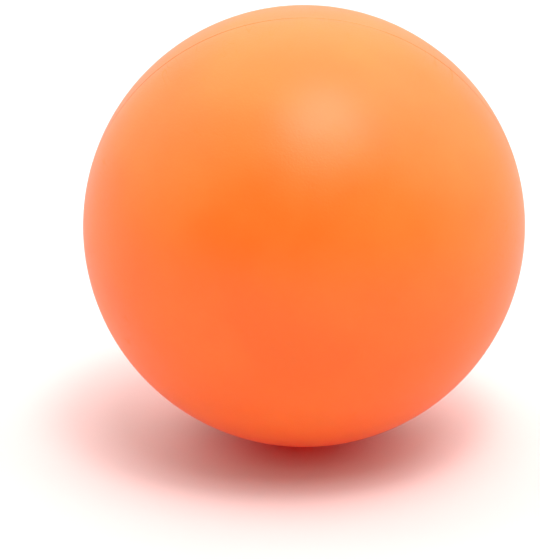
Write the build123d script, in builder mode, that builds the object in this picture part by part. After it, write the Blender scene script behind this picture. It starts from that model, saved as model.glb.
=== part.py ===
"""Table tennis ball, 40 mm across, built from three bonded pieces.

The ball is a thin hollow shell made of two injection-moulded halves that meet at a seam. One half
carries an inner lip that slides into a rebate in the other, and a film of solvent cement fills the
lap joint between them. Cement squeezed out of the joint dries as a small bead on the inside wall.

Frame: the origin is the centre of the ball, +Z is up and the seam lies in the XZ plane, so the pole
axis of both halves is Y. The half with the inner lip has its pole at -Y. Units are millimetres.
"""

from build123d import *
from math import asin, degrees, radians, sqrt, tan
import os

# ---- driving dimensions ----
ball_diameter = 40.0  # the size in the laws of the game
wall = 0.49  # with the extra plastic at the seam, this gives the legal mass of 2.7 g
plastic_density = 1.05e-3  # g/mm3, for ABS; the dried cement is taken as the same
cement_gap = 0.05  # thickness of the cement film, the same all through the joint

# The wall is thicker at the seam, where each half carries a ridge on its inside.
ridge_height = 0.36  # how far the ridge stands in from the inner wall
ridge_length = 0.9  # flat part of the ridge, behind the joint
ridge_ramp = 1.0  # length over which the ridge runs out into the wall
ridge_blend = 0.9  # radius that softens both ends of the ramp

# The lap joint.
lip_length = 1.1  # how far the inner lip reaches past the middle of the seam
lip_draft = 2.0  # degrees, mould draft on the lip and on the rebate around it
lip_lead_in = 0.12  # bevel on the tip of the inner lip
outer_lip_thickness = 0.40  # the outer lip, at the seam

# Small features.
seam_break = 0.04  # chamfer on both outer edges of the seam, which leaves a hairline groove
bead_width = 0.44  # cement bead on the inside of the seam
bead_height = 0.16
gate_mark_radius = 0.8  # trimmed injection point inside each pole
gate_mark_height = 0.08

# ---- derived dimensions ----
outer_radius = ball_diameter / 2
pole_angle = 90.0  # degrees round from the seam to a pole
inner_radius = outer_radius - wall
ridge_radius = inner_radius - ridge_height
half_gap = cement_gap / 2
rim_radius = sqrt(outer_radius**2 - half_gap**2)  # the outer edge of the seam, before its chamfer
rebate_depth = lip_length + cement_gap
draft_slope = tan(radians(lip_draft))


def rebate_wall(depth):
    """Radius of the drafted wall inside the outer lip, at a depth into the rebate half."""
    return outer_radius - outer_lip_thickness - draft_slope * depth


def lip_wall(depth):
    """Radius of the outside of the inner lip, one film of cement inside the rebate wall."""
    return rebate_wall(depth) - cement_gap


# Both sides of the lap joint, as (distance from the pole axis, place along Y), from the outside in.
lip_side = [
    (lip_wall(-half_gap), -half_gap),
    (lip_wall(lip_length - lip_lead_in), lip_length - lip_lead_in),
    (lip_wall(lip_length) - lip_lead_in, lip_length),
    (ridge_radius, lip_length),
]
rebate_side = [
    (rebate_wall(half_gap), half_gap),
    (rebate_wall(rebate_depth), rebate_depth),
    (ridge_radius, rebate_depth),
]

# Each half is drawn on a plane whose x runs out from the pole axis and whose y runs from the seam
# to that half's own pole, so that both halves share one wall.
lip_half_plane = Plane(origin=(0, 0, 0), x_dir=(1, 0, 0), z_dir=(0, 0, -1))
rebate_half_plane = Plane.XY


def draw_wall(ridge_end):
    """Adds the outer wall, the pole, the inner wall and the ramp of the ridge to the open line.

    The line stays open from the outer edge of the seam to the top of the ridge, where each half has
    its own side of the lap joint.
    """
    rim_angle = degrees(asin(half_gap / outer_radius))
    ramp_angle = degrees(asin((ridge_end + ridge_ramp) / inner_radius))
    gate_angle = degrees(asin(gate_mark_radius / inner_radius))
    gate_face = inner_radius - gate_mark_height
    CenterArc((0, 0), outer_radius, rim_angle, pole_angle - rim_angle)
    inner_wall = CenterArc((0, 0), inner_radius, ramp_angle, pole_angle - gate_angle - ramp_angle)
    Line((ridge_radius, ridge_end), inner_wall @ 0)
    Polyline(inner_wall @ 1, (gate_mark_radius, gate_face), (0, gate_face), (0, outer_radius))


def soften_section(section, ridge_end):
    """Rounds both ends of the ramp and chamfers the outer edge of the seam, on a half's section."""
    ramp_start, ramp_end = ridge_end - half_gap, ridge_end + ridge_ramp + half_gap
    fillet(section.vertices().filter_by_position(Axis.Y, ramp_start, ramp_end), ridge_blend)
    chamfer(section.vertices().sort_by(Axis.X)[-1], seam_break)


# ---- half with the inner lip ----
with BuildPart() as inner_lip_half:
    with BuildSketch(lip_half_plane) as lip_section:
        with BuildLine():
            draw_wall(ridge_length)
            lip_profile = [(x, -y) for x, y in lip_side]
            Polyline((rim_radius, half_gap), *lip_profile, (ridge_radius, ridge_length))
        make_face()
        soften_section(lip_section, ridge_length)
    revolve(axis=Axis.Y)
inner_lip_half.part.label = "inner_lip_half"

# ---- half with the rebate inside its outer lip ----
with BuildPart() as outer_lip_half:
    rebate_ridge_end = rebate_depth + ridge_length
    with BuildSketch(rebate_half_plane) as rebate_section:
        with BuildLine():
            draw_wall(rebate_ridge_end)
            Polyline((rim_radius, half_gap), *rebate_side, (ridge_radius, rebate_ridge_end))
        make_face()
        soften_section(rebate_section, rebate_ridge_end)
    revolve(axis=Axis.Y)
outer_lip_half.part.label = "outer_lip_half"

# ---- cement that fills the joint, from the floor of the outer groove to the bead inside ----
with BuildPart() as seam_cement:
    groove_floor = rim_radius - seam_break
    bead_middle = lip_length + half_gap
    with BuildSketch(Plane.XY):
        with BuildLine():
            bead = ThreePointArc(
                (ridge_radius, bead_middle - bead_width / 2),
                (ridge_radius - bead_height, bead_middle),
                (ridge_radius, bead_middle + bead_width / 2),
            )
            Polyline(
                bead @ 0,
                *reversed(lip_side),
                (groove_floor, -half_gap),
                (groove_floor, half_gap),
                *rebate_side,
                bead @ 1,
            )
        make_face()
    revolve(axis=Axis.Y)
seam_cement.part.label = "seam_cement"

# ---- output ----
pieces = [inner_lip_half.part, outer_lip_half.part, seam_cement.part]
os.makedirs("parts", exist_ok=True)
for piece in pieces:
    export_step(piece, f"parts/{piece.label}.step")

mass = plastic_density * sum(piece.volume for piece in pieces)
balance = plastic_density * sum(piece.volume * piece.center(CenterOf.MASS).Y for piece in pieces) / mass
print(f"mass {mass:.3f} g, centre of mass {balance:+.3f} mm along Y")
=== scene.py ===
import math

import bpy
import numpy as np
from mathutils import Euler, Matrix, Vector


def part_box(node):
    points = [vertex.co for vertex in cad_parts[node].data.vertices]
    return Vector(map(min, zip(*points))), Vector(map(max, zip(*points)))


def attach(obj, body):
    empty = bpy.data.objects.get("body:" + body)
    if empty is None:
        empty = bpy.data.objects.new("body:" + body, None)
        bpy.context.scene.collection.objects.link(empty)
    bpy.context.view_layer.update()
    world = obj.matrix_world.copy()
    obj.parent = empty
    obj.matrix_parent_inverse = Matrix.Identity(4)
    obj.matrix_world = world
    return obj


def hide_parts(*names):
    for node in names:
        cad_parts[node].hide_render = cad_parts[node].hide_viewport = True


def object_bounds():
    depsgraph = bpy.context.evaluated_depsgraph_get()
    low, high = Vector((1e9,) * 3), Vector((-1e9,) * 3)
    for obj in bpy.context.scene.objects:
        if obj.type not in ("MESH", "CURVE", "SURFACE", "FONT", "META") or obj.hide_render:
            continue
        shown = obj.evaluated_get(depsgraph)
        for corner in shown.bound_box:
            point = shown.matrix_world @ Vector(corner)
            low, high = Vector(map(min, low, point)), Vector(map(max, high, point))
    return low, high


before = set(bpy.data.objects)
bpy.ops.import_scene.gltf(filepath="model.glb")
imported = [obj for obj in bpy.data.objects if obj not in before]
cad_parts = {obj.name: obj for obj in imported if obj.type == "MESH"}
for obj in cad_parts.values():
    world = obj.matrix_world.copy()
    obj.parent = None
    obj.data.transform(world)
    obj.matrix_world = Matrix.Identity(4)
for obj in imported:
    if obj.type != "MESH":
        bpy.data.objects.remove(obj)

# The looks of the table tennis ball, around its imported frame. Everything is in metres, with the
# origin at the centre of the ball, +Z up and the seam in the XZ plane, so the pole axis is Y.
#
# Each piece is one surface of revolution about Y. Its section is a row of points (distance from the
# axis, place along Y), worked out as whole arrays, and fine enough that no facet shows.

MM = 0.001
cad_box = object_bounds()

# ---- sizes read from the frame ----
OUTER_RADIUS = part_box("outer_lip_half")[1].y
HALF_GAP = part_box("outer_lip_half")[0].y
LIP_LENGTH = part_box("inner_lip_half")[1].y
GROOVE_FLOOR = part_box("seam_cement")[1].x

# ---- sizes that the frame's corners don't give ----
CEMENT_GAP = 2 * HALF_GAP
WALL = 0.49 * MM
RIDGE_HEIGHT = 0.36 * MM
RIDGE_LENGTH = 0.9 * MM
RIDGE_RAMP = 1.0 * MM
LIP_DRAFT = math.radians(2.0)
LIP_LEAD_IN = 0.12 * MM
OUTER_LIP_THICKNESS = 0.40 * MM
SEAM_BREAK = 0.04 * MM
BEAD_WIDTH = 0.44 * MM
BEAD_HEIGHT = 0.16 * MM
GATE_MARK_RADIUS = 0.8 * MM
GATE_MARK_HEIGHT = 0.08 * MM

# The bead is lower where these waves round the seam are high: share of its height, waves, phase.
BEAD_WAVES = [(0.22, 5, 0.7), (0.12, 13, 2.1), (0.08, 31, 4.0)]

SKIN_DEPTH = 0.08 * MM  # the outer face lies above this depth, seam groove included

# ---- how finely the surfaces are divided ----
AROUND = 320  # steps round the pole axis; a multiple of four, so that the widest points are met
OUTER_STEPS = 96  # from a pole to the seam
INNER_STEPS = 48
RAMP_STEPS = 10
BEAD_STEPS = 12
SHARP_ANGLE = math.radians(30)  # edges that turn by more than this stay sharp

inner_radius = OUTER_RADIUS - WALL
ridge_radius = inner_radius - RIDGE_HEIGHT
rebate_depth = LIP_LENGTH + CEMENT_GAP


# ======================================== shapes ========================================

def rebate_wall(depth):
    """Radius of the drafted wall inside the outer lip, at a depth into the half with the rebate."""
    return OUTER_RADIUS - OUTER_LIP_THICKNESS - math.tan(LIP_DRAFT) * depth


def lip_wall(depth):
    """Radius of the outside of the inner lip, one film of cement inside the rebate wall."""
    return rebate_wall(depth) - CEMENT_GAP


def lip_side():
    """The inner lip's side of the joint, from the outside in.

    Each point is (distance from the axis, place along Y), as in every section.
    """
    lead_in = LIP_LENGTH - LIP_LEAD_IN
    return np.array([
        (lip_wall(-HALF_GAP), -HALF_GAP),
        (lip_wall(lead_in), lead_in),
        (lip_wall(LIP_LENGTH) - LIP_LEAD_IN, LIP_LENGTH),
        (ridge_radius, LIP_LENGTH),
    ])


def rebate_side():
    """The rebate's side of the joint, from the outside in."""
    return np.array([
        (rebate_wall(HALF_GAP), HALF_GAP),
        (rebate_wall(rebate_depth), rebate_depth),
        (ridge_radius, rebate_depth),
    ])


def half_section(joint, ridge_end):
    """The section of a half shell, as (distance from the axis, distance from the seam to its pole).

    It starts at the pole outside, follows a circle of the outer radius to the seam, takes the chamfer
    of the seam and then the given side of the joint, and runs along the ridge. The ridge leaves its
    flat along a smooth step, 3 t squared minus 2 t cubed, into a circle of the inner radius, which
    ends at the gate mark, a low disc round the pole inside.
    """
    rim = math.asin((HALF_GAP + SEAM_BREAK) / OUTER_RADIUS)
    outer = np.linspace(math.pi / 2, rim, OUTER_STEPS)
    outside = OUTER_RADIUS * np.column_stack([np.cos(outer), np.sin(outer)])
    outside[0, 0] = 0.0
    groove = np.array([(GROOVE_FLOOR, HALF_GAP)])

    t = np.linspace(0, 1, RAMP_STEPS)
    along = ridge_end + RIDGE_RAMP * t
    wall = np.sqrt(inner_radius**2 - along**2)
    ramp = np.column_stack([ridge_radius + (wall - ridge_radius) * (3 * t**2 - 2 * t**3), along])

    start = math.asin((ridge_end + RIDGE_RAMP) / inner_radius)
    stop = math.acos(GATE_MARK_RADIUS / inner_radius)
    inner = np.linspace(start, stop, INNER_STEPS)[1:]
    inside = inner_radius * np.column_stack([np.cos(inner), np.sin(inner)])
    gate_face = inner_radius - GATE_MARK_HEIGHT
    gate = np.array([(GATE_MARK_RADIUS, gate_face), (0.0, gate_face)])
    return np.concatenate([outside, groove, joint, ramp, inside, gate])


def turned(section):
    """Points of a section turned about Y: x is r cos a and z is r sin a, for AROUND angles a."""
    angle = np.arange(AROUND) * 2 * math.pi / AROUND
    radius = section[..., 0]
    along = np.broadcast_to(section[..., 1], radius.shape)
    return np.stack([radius * np.cos(angle)[:, None], along, radius * np.sin(angle)[:, None]], axis=-1)


def enclosed_volume(points, faces):
    """Six times the volume inside the faces, as a sum of triple products, negative if they face inwards."""
    first, second, third = (points[faces[:, k]] for k in range(3))
    volume = np.einsum("ij,ij->", first, np.cross(second, third))
    if faces.shape[1] == 4:
        fourth = points[faces[:, 3]]
        volume += np.einsum("ij,ij->", first, np.cross(third, fourth))
    return volume


def make_piece(name, points, quads, triangles):
    """A smooth-shaded object from arrays of points, quads and triangles, faces out, sharp edges kept."""
    volume = enclosed_volume(points, quads)
    if len(triangles):
        volume += enclosed_volume(points, triangles)
    if volume < 0:
        quads, triangles = quads[:, ::-1], triangles[:, ::-1]
    mesh = bpy.data.meshes.new(name)
    mesh.from_pydata(points, [], quads.tolist() + triangles.tolist())
    mesh.validate()
    mesh.shade_smooth()
    mesh.set_sharp_from_angle(angle=SHARP_ANGLE)
    piece = bpy.data.objects.new(name, mesh)
    bpy.context.scene.collection.objects.link(piece)
    return piece


def half_shell(name, section):
    """A closed solid whose section starts and ends on the axis, so that each end is one point."""
    rings = turned(np.broadcast_to(section[1:-1], (AROUND, len(section) - 2, 2)))
    count = rings.shape[1]
    poles = np.array([(0.0, section[0, 1], 0.0), (0.0, section[-1, 1], 0.0)])
    points = np.concatenate([rings.reshape(-1, 3), poles])
    here = np.arange(AROUND)[:, None] * count
    ahead = np.roll(np.arange(AROUND), -1)[:, None] * count
    step = np.arange(count - 1)[None, :]
    quads = np.stack([here + step, here + step + 1, ahead + step + 1, ahead + step], axis=-1).reshape(-1, 4)
    first, last = AROUND * count, AROUND * count + 1
    start = np.stack([np.full(AROUND, first), here[:, 0], ahead[:, 0]], axis=-1)
    end = np.stack([np.full(AROUND, last), ahead[:, 0] + count - 1, here[:, 0] + count - 1], axis=-1)
    return make_piece(name, points, quads, np.concatenate([start, end]))


def cement_ring(name):
    """A closed ring whose section fills the joint and swells into a bead inside.

    The bead is half a sine across its width. Its height is uneven round the seam, a sum of three
    sines of the angle, as squeezed-out cement dries.
    """
    angle = np.arange(AROUND) * 2 * math.pi / AROUND
    uneven = np.ones(AROUND)
    for share, waves, phase in BEAD_WAVES:
        uneven -= share * (0.5 + 0.5 * np.sin(waves * angle + phase))
    middle = (LIP_LENGTH + rebate_depth) / 2
    t = np.linspace(0, 1, BEAD_STEPS)
    swell = ridge_radius - BEAD_HEIGHT * uneven[:, None] * np.sin(math.pi * t)[None, :]
    across = np.broadcast_to(middle + BEAD_WIDTH * (t - 0.5), swell.shape)
    bead = np.stack([swell, across], axis=-1)
    outside = np.array([(GROOVE_FLOOR, -HALF_GAP), (GROOVE_FLOOR, HALF_GAP)])
    fixed = np.concatenate([lip_side()[-2::-1], outside, rebate_side()[:-1]])
    flat = np.array([(ridge_radius, rebate_depth)])
    closing = np.array([(ridge_radius, LIP_LENGTH)])
    parts = [np.broadcast_to(p, (AROUND, len(p), 2)) for p in (closing, fixed, flat)]
    section = np.concatenate([*parts, bead[:, ::-1]], axis=1)
    rings = turned(section)
    count = rings.shape[1]
    here = np.arange(AROUND)[:, None] * count
    ahead = np.roll(np.arange(AROUND), -1)[:, None] * count
    step = np.arange(count)[None, :]
    following = (step + 1) % count
    quads = np.stack([here + step, here + following, ahead + following, ahead + step], axis=-1)
    return make_piece(name, rings.reshape(-1, 3), quads.reshape(-1, 4), np.zeros((0, 3), int))


# ======================================== materials ========================================

def moulded_plastic(name, deep, pale, glow, skin_share, inside_share):
    """Tumbled matt plastic, thin enough that some light comes through it.

    deep and pale are the two tones that the mottling runs between, and glow is the colour of the
    light that comes through. skin_share is how much of the light the outer face lets through, and
    inside_share how much the faces inside do. A real wall scatters light once over its thickness, so
    the outer face does most of the scattering and the faces behind it mostly pass the light on.
    """
    material = bpy.data.materials.new(name)
    material.use_nodes = True
    nodes, links = material.node_tree.nodes, material.node_tree.links
    nodes.clear()

    # nodes
    place = nodes.new("ShaderNodeTexCoord")
    place.label = "place on the ball"
    place.location = (-560, 0)
    in_mm = nodes.new("ShaderNodeMapping")
    in_mm.label = "metres to millimetres"
    in_mm.location = (-320, 0)

    mottle = nodes.new("ShaderNodeTexNoise")
    mottle.label = "slow unevenness of the melt"
    spread = nodes.new("ShaderNodeMapRange")
    spread.label = "from one tone right to the other"
    tone = nodes.new("ShaderNodeMix")
    tone.label = "orange between its two tones"

    grain = nodes.new("ShaderNodeTexNoise")
    grain.label = "fine grain from tumbling"
    grain_bump = nodes.new("ShaderNodeBump")
    grain_bump.label = "grain as relief"
    swell = nodes.new("ShaderNodeTexNoise")
    swell.label = "soft waviness of the moulding"
    swell_bump = nodes.new("ShaderNodeBump")
    swell_bump.label = "waviness as relief"
    scratch_bump = nodes.new("ShaderNodeBump")
    scratch_bump.label = "scuffs as shallow scratches"

    drawn_out = nodes.new("ShaderNodeMapping")
    drawn_out.label = "scuffs drawn out one way"
    scuff_noise = nodes.new("ShaderNodeTexNoise")
    scuff_noise.label = "where hairline scuffs could run"
    scuff_off = nodes.new("ShaderNodeMath")
    scuff_off.label = "distance from the middle of the noise"
    scuff_abs = nodes.new("ShaderNodeMath")
    scuff_abs.label = "either side of that middle"
    scuff_line = nodes.new("ShaderNodeMapRange")
    scuff_line.label = "thin lines out of the noise"
    scuff_patch = nodes.new("ShaderNodeTexNoise")
    scuff_patch.label = "where the ball has been rubbed"
    scuff_area = nodes.new("ShaderNodeMapRange")
    scuff_area.label = "rubbed patches only"
    scuffs = nodes.new("ShaderNodeMath")
    scuffs.label = "scuffs inside rubbed patches"

    split = nodes.new("ShaderNodeSeparateXYZ")
    split.label = "place along the pole axis"
    from_seam = nodes.new("ShaderNodeMath")
    from_seam.label = "distance from the seam"
    seam_band = nodes.new("ShaderNodeMapRange")
    seam_band.label = "band buffed along the seam"

    matt = nodes.new("ShaderNodeMapRange")
    matt.label = "matt, a little uneven"
    buffed = nodes.new("ShaderNodeMix")
    buffed.label = "smoother where buffed"
    scuffed = nodes.new("ShaderNodeMix")
    scuffed.label = "rougher where scuffed"

    from_middle = nodes.new("ShaderNodeVectorMath")
    from_middle.label = "distance from the middle of the ball"
    share = nodes.new("ShaderNodeMapRange")
    share.label = "outer face, or a face inside"
    skin = nodes.new("ShaderNodeBsdfPrincipled")
    skin.label = "skin of the plastic"
    through = nodes.new("ShaderNodeBsdfTranslucent")
    through.label = "light through the thin wall"
    wall = nodes.new("ShaderNodeMixShader")
    wall.label = "skin and the light through it"
    output = nodes.new("ShaderNodeOutputMaterial")
    output.location = (1300, -1920)

    groups = {
        "tone": [mottle, spread, tone],
        "relief": [swell, swell_bump, grain, grain_bump, scratch_bump],
        "scuff lines": [drawn_out, scuff_noise, scuff_off, scuff_abs, scuff_line],
        "scuffs": [scuff_patch, scuff_area, scuffs],
        "seam": [split, from_seam, seam_band],
        "roughness": [matt, buffed, scuffed],
        "wall": [from_middle, share, skin, through, wall],
    }
    for row, (effect, members) in enumerate(groups.items()):
        box = nodes.new("NodeFrame")
        box.label = effect
        for column, node in enumerate(members):
            node.parent = box
            node.location = (240 * column, -320 * row)

    # settings
    in_mm.inputs["Scale"].default_value = (1 / MM, 1 / MM, 1 / MM)
    mottle.inputs["Scale"].default_value = 0.11
    mottle.inputs["Detail"].default_value = 3.0
    spread.inputs["From Min"].default_value = 0.35
    spread.inputs["From Max"].default_value = 0.65
    tone.data_type = "RGBA"
    tone.inputs["A"].default_value = (*deep, 1.0)
    tone.inputs["B"].default_value = (*pale, 1.0)
    grain.inputs["Scale"].default_value = 5.0
    grain.inputs["Detail"].default_value = 3.0
    grain_bump.inputs["Strength"].default_value = 0.8
    grain_bump.inputs["Distance"].default_value = 0.025 * MM
    swell.inputs["Scale"].default_value = 0.3
    swell.inputs["Detail"].default_value = 1.0
    swell_bump.inputs["Strength"].default_value = 0.5
    swell_bump.inputs["Distance"].default_value = 0.05 * MM
    scratch_bump.invert = True
    scratch_bump.inputs["Strength"].default_value = 0.5
    scratch_bump.inputs["Distance"].default_value = 0.012 * MM
    drawn_out.inputs["Rotation"].default_value = (0.5, 0.8, 0.3)
    drawn_out.inputs["Scale"].default_value = (1.0, 0.12, 1.0)
    scuff_noise.inputs["Scale"].default_value = 0.8
    scuff_noise.inputs["Detail"].default_value = 1.0
    scuff_off.operation = "SUBTRACT"
    scuff_off.inputs[1].default_value = 0.5
    scuff_abs.operation = "ABSOLUTE"
    scuff_line.inputs["From Max"].default_value = 0.009
    scuff_line.inputs["To Min"].default_value = 1.0
    scuff_line.inputs["To Max"].default_value = 0.0
    scuff_patch.inputs["Scale"].default_value = 0.16
    scuff_patch.inputs["Detail"].default_value = 2.0
    scuff_area.inputs["From Min"].default_value = 0.46
    scuff_area.inputs["From Max"].default_value = 0.58
    scuffs.operation = "MULTIPLY"
    from_seam.operation = "ABSOLUTE"
    seam_band.inputs["From Min"].default_value = 0.1
    seam_band.inputs["From Max"].default_value = 0.9
    seam_band.inputs["To Min"].default_value = 1.0
    seam_band.inputs["To Max"].default_value = 0.0
    matt.inputs["From Min"].default_value = 0.3
    matt.inputs["From Max"].default_value = 0.7
    matt.inputs["To Min"].default_value = 0.36
    matt.inputs["To Max"].default_value = 0.44
    buffed.inputs["B"].default_value = 0.37
    scuffed.inputs["B"].default_value = 0.62
    from_middle.operation = "LENGTH"
    share.inputs["From Min"].default_value = (OUTER_RADIUS - 2 * SKIN_DEPTH) / MM
    share.inputs["From Max"].default_value = (OUTER_RADIUS - SKIN_DEPTH) / MM
    share.inputs["To Min"].default_value = inside_share
    share.inputs["To Max"].default_value = skin_share
    skin.inputs["IOR"].default_value = 1.53
    skin.inputs["Specular IOR Level"].default_value = 0.6
    skin.inputs["Sheen Weight"].default_value = 0.25
    skin.inputs["Sheen Roughness"].default_value = 0.4
    through.inputs["Color"].default_value = (*glow, 1.0)

    # links
    links.new(place.outputs["Object"], in_mm.inputs["Vector"])
    links.new(in_mm.outputs["Vector"], mottle.inputs["Vector"])
    links.new(mottle.outputs["Fac"], spread.inputs["Value"])
    links.new(spread.outputs["Result"], tone.inputs["Factor"])
    links.new(tone.outputs["Result"], skin.inputs["Base Color"])

    links.new(in_mm.outputs["Vector"], swell.inputs["Vector"])
    links.new(swell.outputs["Fac"], swell_bump.inputs["Height"])
    links.new(in_mm.outputs["Vector"], grain.inputs["Vector"])
    links.new(grain.outputs["Fac"], grain_bump.inputs["Height"])
    links.new(swell_bump.outputs["Normal"], grain_bump.inputs["Normal"])
    links.new(scuffs.outputs["Value"], scratch_bump.inputs["Height"])
    links.new(grain_bump.outputs["Normal"], scratch_bump.inputs["Normal"])
    links.new(scratch_bump.outputs["Normal"], skin.inputs["Normal"])

    links.new(in_mm.outputs["Vector"], drawn_out.inputs["Vector"])
    links.new(drawn_out.outputs["Vector"], scuff_noise.inputs["Vector"])
    links.new(scuff_noise.outputs["Fac"], scuff_off.inputs[0])
    links.new(scuff_off.outputs["Value"], scuff_abs.inputs[0])
    links.new(scuff_abs.outputs["Value"], scuff_line.inputs["Value"])
    links.new(in_mm.outputs["Vector"], scuff_patch.inputs["Vector"])
    links.new(scuff_patch.outputs["Fac"], scuff_area.inputs["Value"])
    links.new(scuff_line.outputs["Result"], scuffs.inputs[0])
    links.new(scuff_area.outputs["Result"], scuffs.inputs[1])

    links.new(in_mm.outputs["Vector"], split.inputs["Vector"])
    links.new(split.outputs["Y"], from_seam.inputs[0])
    links.new(from_seam.outputs["Value"], seam_band.inputs["Value"])

    links.new(mottle.outputs["Fac"], matt.inputs["Value"])
    links.new(matt.outputs["Result"], buffed.inputs["A"])
    links.new(seam_band.outputs["Result"], buffed.inputs["Factor"])
    links.new(buffed.outputs["Result"], scuffed.inputs["A"])
    links.new(scuffs.outputs["Value"], scuffed.inputs["Factor"])
    links.new(scuffed.outputs["Result"], skin.inputs["Roughness"])

    links.new(in_mm.outputs["Vector"], from_middle.inputs[0])
    links.new(from_middle.outputs["Value"], share.inputs["Value"])
    links.new(share.outputs["Result"], wall.inputs["Fac"])
    links.new(skin.outputs["BSDF"], wall.inputs[1])
    links.new(through.outputs["BSDF"], wall.inputs[2])
    links.new(wall.outputs["Shader"], output.inputs["Surface"])
    return material


def dried_cement(name, thin, thick, glow, share):
    """Cement dried in the joint: glossier than the shell, with ripples and trapped bubbles.

    thin and thick are its tones where it is a film and where it has pooled, glow is the colour of
    the light that comes through it, and share is how much of the light does.
    """
    material = bpy.data.materials.new(name)
    material.use_nodes = True
    nodes, links = material.node_tree.nodes, material.node_tree.links
    nodes.clear()

    # nodes
    place = nodes.new("ShaderNodeTexCoord")
    place.label = "place on the ball"
    place.location = (-560, 0)
    in_mm = nodes.new("ShaderNodeMapping")
    in_mm.label = "metres to millimetres"
    in_mm.location = (-320, 0)

    pooling = nodes.new("ShaderNodeTexNoise")
    pooling.label = "where the cement has pooled"
    tone = nodes.new("ShaderNodeMix")
    tone.label = "film or pool"

    ripple = nodes.new("ShaderNodeTexNoise")
    ripple.label = "ripples as it dried"
    ripple_bump = nodes.new("ShaderNodeBump")
    ripple_bump.label = "ripples as relief"
    bubble = nodes.new("ShaderNodeTexVoronoi")
    bubble.label = "one bubble in each cell"
    bubble_edge = nodes.new("ShaderNodeMapRange")
    bubble_edge.label = "small round bubbles"
    bubble_bump = nodes.new("ShaderNodeBump")
    bubble_bump.label = "bubbles stand out"

    gloss = nodes.new("ShaderNodeMapRange")
    gloss.label = "glossier where it pooled"

    skin = nodes.new("ShaderNodeBsdfPrincipled")
    skin.label = "skin of the cement"
    through = nodes.new("ShaderNodeBsdfTranslucent")
    through.label = "light through the cement"
    body = nodes.new("ShaderNodeMixShader")
    body.label = "skin and the light through it"
    output = nodes.new("ShaderNodeOutputMaterial")
    output.location = (1300, -960)

    groups = {
        "tone": [pooling, tone],
        "relief": [ripple, ripple_bump, bubble, bubble_edge, bubble_bump],
        "roughness": [gloss],
        "body": [skin, through, body],
    }
    for row, (effect, members) in enumerate(groups.items()):
        box = nodes.new("NodeFrame")
        box.label = effect
        for column, node in enumerate(members):
            node.parent = box
            node.location = (240 * column, -320 * row)

    # settings
    in_mm.inputs["Scale"].default_value = (1 / MM, 1 / MM, 1 / MM)
    pooling.inputs["Scale"].default_value = 0.4
    pooling.inputs["Detail"].default_value = 2.0
    tone.data_type = "RGBA"
    tone.inputs["A"].default_value = (*thin, 1.0)
    tone.inputs["B"].default_value = (*thick, 1.0)
    ripple.inputs["Scale"].default_value = 2.5
    ripple.inputs["Detail"].default_value = 2.0
    ripple_bump.inputs["Strength"].default_value = 0.6
    ripple_bump.inputs["Distance"].default_value = 0.02 * MM
    bubble.inputs["Scale"].default_value = 3.0
    bubble_edge.inputs["From Min"].default_value = 0.10
    bubble_edge.inputs["From Max"].default_value = 0.22
    bubble_edge.inputs["To Min"].default_value = 1.0
    bubble_edge.inputs["To Max"].default_value = 0.0
    bubble_bump.inputs["Strength"].default_value = 0.5
    bubble_bump.inputs["Distance"].default_value = 0.01 * MM
    gloss.inputs["From Min"].default_value = 0.3
    gloss.inputs["From Max"].default_value = 0.7
    gloss.inputs["To Min"].default_value = 0.34
    gloss.inputs["To Max"].default_value = 0.20
    skin.inputs["IOR"].default_value = 1.53
    through.inputs["Color"].default_value = (*glow, 1.0)
    body.inputs["Fac"].default_value = share

    # links
    links.new(place.outputs["Object"], in_mm.inputs["Vector"])
    links.new(in_mm.outputs["Vector"], pooling.inputs["Vector"])
    links.new(pooling.outputs["Fac"], tone.inputs["Factor"])
    links.new(tone.outputs["Result"], skin.inputs["Base Color"])

    links.new(in_mm.outputs["Vector"], ripple.inputs["Vector"])
    links.new(ripple.outputs["Fac"], ripple_bump.inputs["Height"])
    links.new(in_mm.outputs["Vector"], bubble.inputs["Vector"])
    links.new(bubble.outputs["Distance"], bubble_edge.inputs["Value"])
    links.new(bubble_edge.outputs["Result"], bubble_bump.inputs["Height"])
    links.new(ripple_bump.outputs["Normal"], bubble_bump.inputs["Normal"])
    links.new(bubble_bump.outputs["Normal"], skin.inputs["Normal"])

    links.new(pooling.outputs["Fac"], gloss.inputs["Value"])
    links.new(gloss.outputs["Result"], skin.inputs["Roughness"])

    links.new(skin.outputs["BSDF"], body.inputs[1])
    links.new(through.outputs["BSDF"], body.inputs[2])
    links.new(body.outputs["Shader"], output.inputs["Surface"])
    return material


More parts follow.
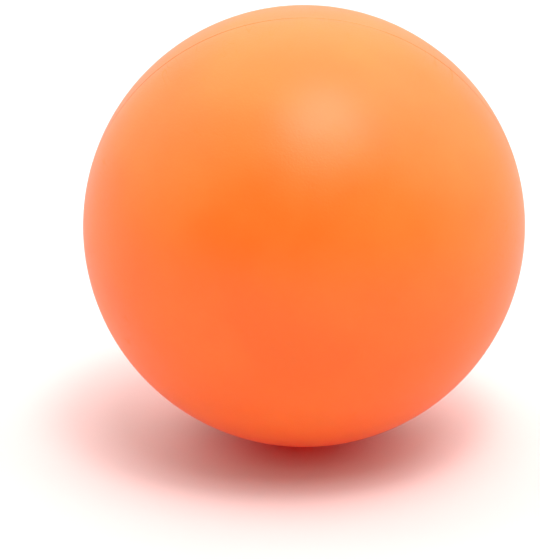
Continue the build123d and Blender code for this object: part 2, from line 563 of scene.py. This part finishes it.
def warm_paper(name, deep, pale):
    """Smooth uncoated paper for the floor, between two tones of a warm white, with a faint fibre."""
    material = bpy.data.materials.new(name)
    material.use_nodes = True
    nodes, links = material.node_tree.nodes, material.node_tree.links
    nodes.clear()

    # nodes
    place = nodes.new("ShaderNodeTexCoord")
    place.label = "place on the floor"
    place.location = (-560, 0)
    in_mm = nodes.new("ShaderNodeMapping")
    in_mm.label = "metres to millimetres"
    in_mm.location = (-320, 0)
    cloud = nodes.new("ShaderNodeTexNoise")
    cloud.label = "faint clouding of the pulp"
    tone = nodes.new("ShaderNodeMix")
    tone.label = "warm white between its two tones"
    fibre = nodes.new("ShaderNodeTexNoise")
    fibre.label = "paper fibre"
    fibre_bump = nodes.new("ShaderNodeBump")
    fibre_bump.label = "fibre as relief"
    sheet = nodes.new("ShaderNodeBsdfPrincipled")
    sheet.label = "sheet of paper"
    output = nodes.new("ShaderNodeOutputMaterial")
    output.location = (1000, 0)

    groups = {"tone": [cloud, tone], "relief": [fibre, fibre_bump], "paper": [sheet]}
    for row, (effect, members) in enumerate(groups.items()):
        box = nodes.new("NodeFrame")
        box.label = effect
        for column, node in enumerate(members):
            node.parent = box
            node.location = (240 * column, -320 * row)

    # settings
    in_mm.inputs["Scale"].default_value = (1 / MM, 1 / MM, 1 / MM)
    cloud.inputs["Scale"].default_value = 0.02
    cloud.inputs["Detail"].default_value = 2.0
    tone.data_type = "RGBA"
    tone.inputs["A"].default_value = (*deep, 1.0)
    tone.inputs["B"].default_value = (*pale, 1.0)
    fibre.inputs["Scale"].default_value = 2.0
    fibre.inputs["Detail"].default_value = 3.0
    fibre_bump.inputs["Strength"].default_value = 0.1
    fibre_bump.inputs["Distance"].default_value = 0.01 * MM
    sheet.inputs["Roughness"].default_value = 0.9
    sheet.inputs["Specular IOR Level"].default_value = 0.2

    # links
    links.new(place.outputs["Object"], in_mm.inputs["Vector"])
    links.new(in_mm.outputs["Vector"], cloud.inputs["Vector"])
    links.new(cloud.outputs["Fac"], tone.inputs["Factor"])
    links.new(tone.outputs["Result"], sheet.inputs["Base Color"])
    links.new(in_mm.outputs["Vector"], fibre.inputs["Vector"])
    links.new(fibre.outputs["Fac"], fibre_bump.inputs["Height"])
    links.new(fibre_bump.outputs["Normal"], sheet.inputs["Normal"])
    links.new(sheet.outputs["BSDF"], output.inputs["Surface"])
    return material


# ======================================== pieces ========================================

# The inner lip's half is drawn like the other one and then turned over, so that its pole is at -Y.
inner_lip_section = half_section(lip_side() * (1, -1), RIDGE_LENGTH) * (1, -1)
outer_lip_section = half_section(rebate_side(), rebate_depth + RIDGE_LENGTH)

shell_plastic = moulded_plastic(
    "shell_plastic",
    deep=(0.97, 0.276, 0.017),
    pale=(0.99, 0.314, 0.026),
    glow=(0.99, 0.300, 0.030),
    skin_share=0.42,
    inside_share=0.80,
)
cement_film = dried_cement(
    "cement_film",
    thin=(0.98, 0.310, 0.025),
    thick=(0.93, 0.255, 0.030),
    glow=(0.99, 0.300, 0.030),
    share=0.42,
)

pieces = [
    (half_shell("inner_lip_shell", inner_lip_section), "inner_lip_half", "ball_shell", shell_plastic),
    (half_shell("outer_lip_shell", outer_lip_section), "outer_lip_half", "ball_shell", shell_plastic),
    (cement_ring("seam_cement_ring"), "seam_cement", "dried_cement", cement_film),
]
for piece, node, slot, material in pieces:
    piece.data.materials.append(material)
    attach(piece, "root")
    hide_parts(node)


# ======================================== floor, light and camera ========================================

FLOOR_RADIUS = 6.0
FLOOR_STEPS = 96

turn = np.arange(FLOOR_STEPS) * 2 * math.pi / FLOOR_STEPS
floor_level = cad_box[0].z
edge = np.column_stack([
    FLOOR_RADIUS * np.cos(turn),
    FLOOR_RADIUS * np.sin(turn),
    np.full(FLOOR_STEPS, floor_level),
])
floor_mesh = bpy.data.meshes.new("floor")
floor_mesh.from_pydata(edge, [], [list(range(FLOOR_STEPS))])
floor = bpy.data.objects.new("floor", floor_mesh)
bpy.context.scene.collection.objects.link(floor)

floor.data.materials.append(warm_paper("warm_paper", deep=(0.72, 0.565, 0.55), pale=(0.74, 0.585, 0.57)))

# The surroundings are brightest behind the ball, dimmer above it, and dark low down in front of it.
# The camera itself sees them as white, so that the far edge of the floor doesn't show.
SURROUNDINGS_BEHIND = 1.7
SURROUNDINGS_ABOVE = 0.33
SEEN_WHITE = 1.0

world = bpy.data.worlds.new("studio")
bpy.context.scene.world = world
world.use_nodes = True
nodes, links = world.node_tree.nodes, world.node_tree.links
nodes.clear()

direction = nodes.new("ShaderNodeTexCoord")
direction.label = "direction looked in"
direction.location = (-560, 0)
split = nodes.new("ShaderNodeSeparateXYZ")
split.label = "towards the back, and upwards"
behind = nodes.new("ShaderNodeMapRange")
behind.label = "dark in front, bright behind"
above = nodes.new("ShaderNodeMapRange")
above.label = "dimmer above"
brightness = nodes.new("ShaderNodeMath")
brightness.label = "both together"
lighting = nodes.new("ShaderNodeBackground")
lighting.label = "light on the ball and the floor"
backdrop = nodes.new("ShaderNodeBackground")
backdrop.label = "white beyond the floor"
seen = nodes.new("ShaderNodeLightPath")
seen.label = "seen directly or not"
either = nodes.new("ShaderNodeMixShader")
either.label = "white where seen directly"
output = nodes.new("ShaderNodeOutputWorld")
output.location = (1060, -320)

groups = {
    "light": [split, behind, above, brightness, lighting],
    "what the camera sees": [seen, backdrop, either],
}
for row, (effect, members) in enumerate(groups.items()):
    box = nodes.new("NodeFrame")
    box.label = effect
    for column, node in enumerate(members):
        node.parent = box
        node.location = (240 * column, -320 * row)

behind.inputs["To Max"].default_value = SURROUNDINGS_BEHIND
above.inputs["To Max"].default_value = SURROUNDINGS_ABOVE
brightness.operation = "ADD"
lighting.inputs["Color"].default_value = (1.0, 1.0, 1.0, 1.0)
backdrop.inputs["Color"].default_value = (1.0, 1.0, 1.0, 1.0)
backdrop.inputs["Strength"].default_value = SEEN_WHITE

links.new(direction.outputs["Generated"], split.inputs["Vector"])
links.new(split.outputs["Y"], behind.inputs["Value"])
links.new(split.outputs["Z"], above.inputs["Value"])
links.new(behind.outputs["Result"], brightness.inputs[0])
links.new(above.outputs["Result"], brightness.inputs[1])
links.new(brightness.outputs["Value"], lighting.inputs["Strength"])
links.new(seen.outputs["Is Camera Ray"], either.inputs["Fac"])
links.new(lighting.outputs["Background"], either.inputs[1])
links.new(backdrop.outputs["Background"], either.inputs[2])
links.new(either.outputs["Shader"], output.inputs["Surface"])

# Soft lights, far off: name, azimuth and elevation of the light, its width across, all in degrees,
# and its strength. Azimuth 0 is the camera's side and 90 is its right.
SOFT_LIGHTS = [
    ("key_softbox", 37, 75, 40, 1.8),
    ("key_middle", 37, 75, 14, 0.65),
    ("overhead_softbox", 0, 90, 100, 0.65),
    ("back_softbox", 180, 60, 70, 0.95),
    ("left_softbox", -100, 35, 60, 0.85),
    ("right_softbox", 100, 35, 60, 1.2),
]
for name, azimuth, elevation, width, strength in SOFT_LIGHTS:
    lamp = bpy.data.lights.new(name, "SUN")
    lamp.energy = strength
    lamp.angle = math.radians(width)
    a, e = math.radians(azimuth), math.radians(elevation)
    towards = Vector((math.sin(a) * math.cos(e), -math.cos(a) * math.cos(e), math.sin(e)))
    softbox = bpy.data.objects.new(name, lamp)
    softbox.rotation_euler = towards.to_track_quat("Z", "Y").to_euler()
    bpy.context.scene.collection.objects.link(softbox)

CAMERA_ELEVATION = math.radians(22)
CAMERA_DISTANCE = 0.6
LENS_MM = 426.9
BALL_RIGHT_OF_MIDDLE = 3.08 * MM
BALL_ABOVE_MIDDLE = 4.84 * MM
NEAREST_SEEN = 0.01
FARTHEST_SEEN = 50.0

camera = bpy.data.objects.new("camera", bpy.data.cameras.new("camera"))
camera.data.lens = LENS_MM
camera.data.clip_start = NEAREST_SEEN
camera.data.clip_end = FARTHEST_SEEN
bpy.context.scene.collection.objects.link(camera)
camera.rotation_euler = Euler((math.pi / 2 - CAMERA_ELEVATION, 0.0, 0.0))
facing = camera.rotation_euler.to_matrix()
camera.location = facing @ Vector((-BALL_RIGHT_OF_MIDDLE, -BALL_ABOVE_MIDDLE, CAMERA_DISTANCE))
bpy.context.scene.camera = camera
bpy.context.scene.view_settings.view_transform = "Standard"
